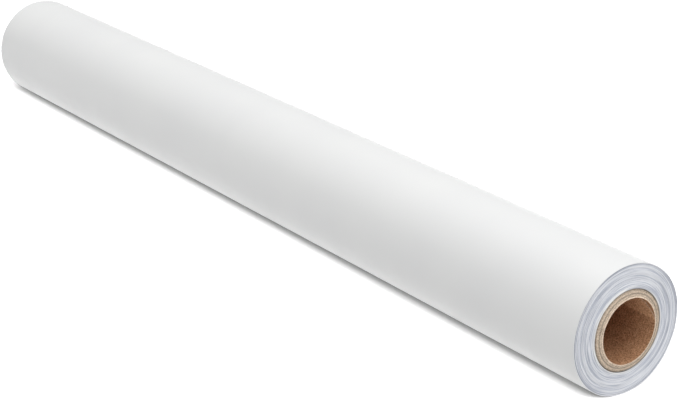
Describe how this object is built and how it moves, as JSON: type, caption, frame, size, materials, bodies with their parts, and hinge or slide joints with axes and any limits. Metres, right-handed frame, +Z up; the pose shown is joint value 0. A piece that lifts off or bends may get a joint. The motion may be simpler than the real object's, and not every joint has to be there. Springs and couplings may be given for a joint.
{
  "type": "sign vinyl roll",
  "caption": "Full roll of white self-adhesive sign vinyl on a thick paperboard core, with its taped free end at the back.",
  "frame": {"origin": "centre of the core's bore, halfway along the roll", "axes": "+X along the roll, towards the end that the picture shows; +Z up; the free end of the web is on the +Y side"},
  "size_m": [1.38, 0.1521, 0.1517],
  "materials": {
    "core_bore_kraft": "matte",
    "core_board": "matte",
    "mounting_tape": "matte",
    "wound_vinyl": "satin",
    "release_liner": "satin",
    "face_film": "satin",
    "closing_tape": "matte"
  },
  "bodies": {
    "roll": {"core_ply_01": "core_bore_kraft", "core_ply_02": "core_board", "core_ply_03": "core_board", "core_ply_04": "core_board", "core_ply_05": "core_board", "core_ply_06": "core_board", "core_ply_07": "core_board", "core_ply_08": "core_board", "core_ply_09": "core_board", "core_ply_10": "core_board", "core_ply_11": "core_board", "core_ply_12": "core_board", "core_tape": "mounting_tape", "wound_web": "wound_vinyl", "outer_liner": "release_liner", "outer_film": "face_film"},
    "tail": {"tail_liner": "release_liner", "tail_film": "face_film", "closing_tape_left": "closing_tape", "closing_tape_centre": "closing_tape", "closing_tape_right": "closing_tape"}
  },
  "joints": [
    {"name": "tail_lift", "type": "hinge", "parent": "roll", "child": "tail", "pos_m": [0, 0.05208, 0.0556], "axis": [1, 0, 0], "range_deg": [0, 60]}
  ]
}
